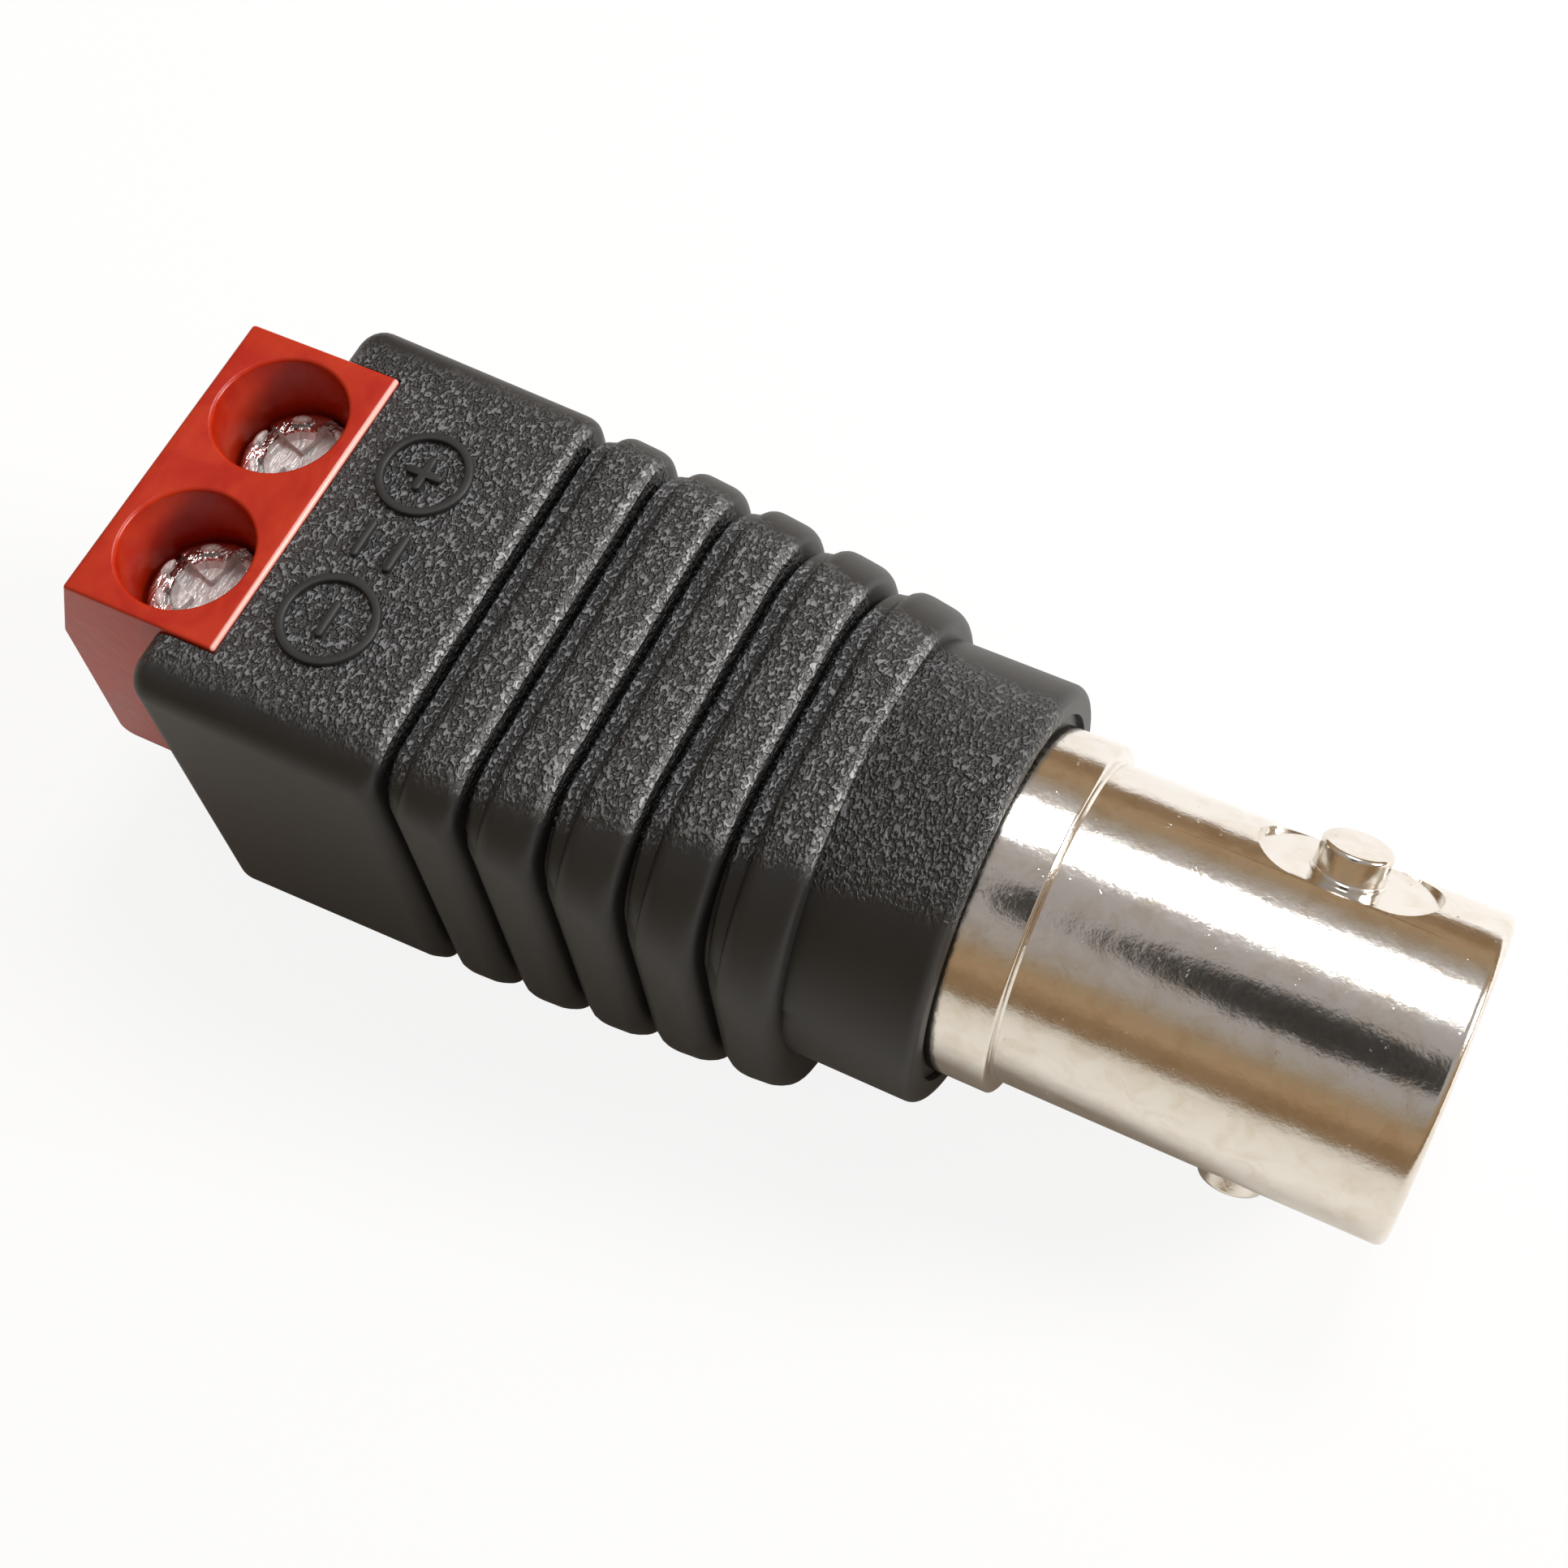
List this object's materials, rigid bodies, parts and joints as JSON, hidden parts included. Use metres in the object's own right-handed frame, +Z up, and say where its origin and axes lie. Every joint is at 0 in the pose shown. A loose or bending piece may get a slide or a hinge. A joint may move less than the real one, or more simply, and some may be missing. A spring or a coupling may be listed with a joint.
{
  "type": "bnc screw terminal adapter",
  "caption": "Short adapter from a coaxial bayonet jack to a two-way screw terminal block, with a ribbed moulded body between them.",
  "frame": {"origin": "on the jack's axis, at the front end of its socket contact, 2.9 mm behind the jack's mouth", "axes": "+X along the jack's axis out of its mouth, +Z up out of the screw wells, +Y across to the positive pole"},
  "size_m": [0.0414, 0.0138, 0.0129],
  "materials": {
    "black_moulding": "moulded, spark texture on top, satin sides",
    "red_housing": "smooth moulded",
    "screw_steel": "bright plated, slightly burred",
    "cage_steel": "plated",
    "tinned_brass": "tinned",
    "plated_shell": "nickel plated casting, slightly pitted",
    "white_insulator": "smooth",
    "gilt_contact": "thin gilt plating",
    "red_insulation": "smooth",
    "black_insulation": "smooth"
  },
  "bodies": {
    "adapter": {"moulded_body": "black_moulding", "terminal_housing": "red_housing", "contact_bar_positive": "tinned_brass", "contact_bar_negative": "tinned_brass", "jack_shell": "plated_shell", "jack_insulator": "white_insulator", "rear_insulator": "white_insulator", "retaining_ring": "tinned_brass", "centre_contact": "gilt_contact", "earth_tag": "tinned_brass", "signal_lead": "red_insulation", "earth_lead": "black_insulation"},
    "positive_screw": {"clamp_screw_positive": "screw_steel"},
    "negative_screw": {"clamp_screw_negative": "screw_steel"},
    "positive_cage": {"clamp_cage_positive": "cage_steel"},
    "negative_cage": {"clamp_cage_negative": "cage_steel"}
  },
  "joints": [
    {"name": "positive_screw_turn", "type": "hinge", "parent": "adapter", "child": "positive_screw", "pos_m": [-0.03457, 0.00254, 0.0033], "axis": [0, 0, -1], "range_deg": [0, 1080]},
    {"name": "negative_screw_turn", "type": "hinge", "parent": "adapter", "child": "negative_screw", "pos_m": [-0.03457, -0.00254, 0.0033], "axis": [0, 0, -1], "range_deg": [0, 1080]},
    {"name": "positive_cage_rise", "type": "slide", "parent": "adapter", "child": "positive_cage", "axis": [0, 0, 1], "range_m": [0, 0.0015]},
    {"name": "negative_cage_rise", "type": "slide", "parent": "adapter", "child": "negative_cage", "axis": [0, 0, 1], "range_m": [0, 0.0015]}
  ],
  "couplings": [
    {"joint": "positive_screw_turn", "follows": "positive_cage_rise", "rad_per_m": 12566},
    {"joint": "negative_screw_turn", "follows": "negative_cage_rise", "rad_per_m": 12566}
  ]
}
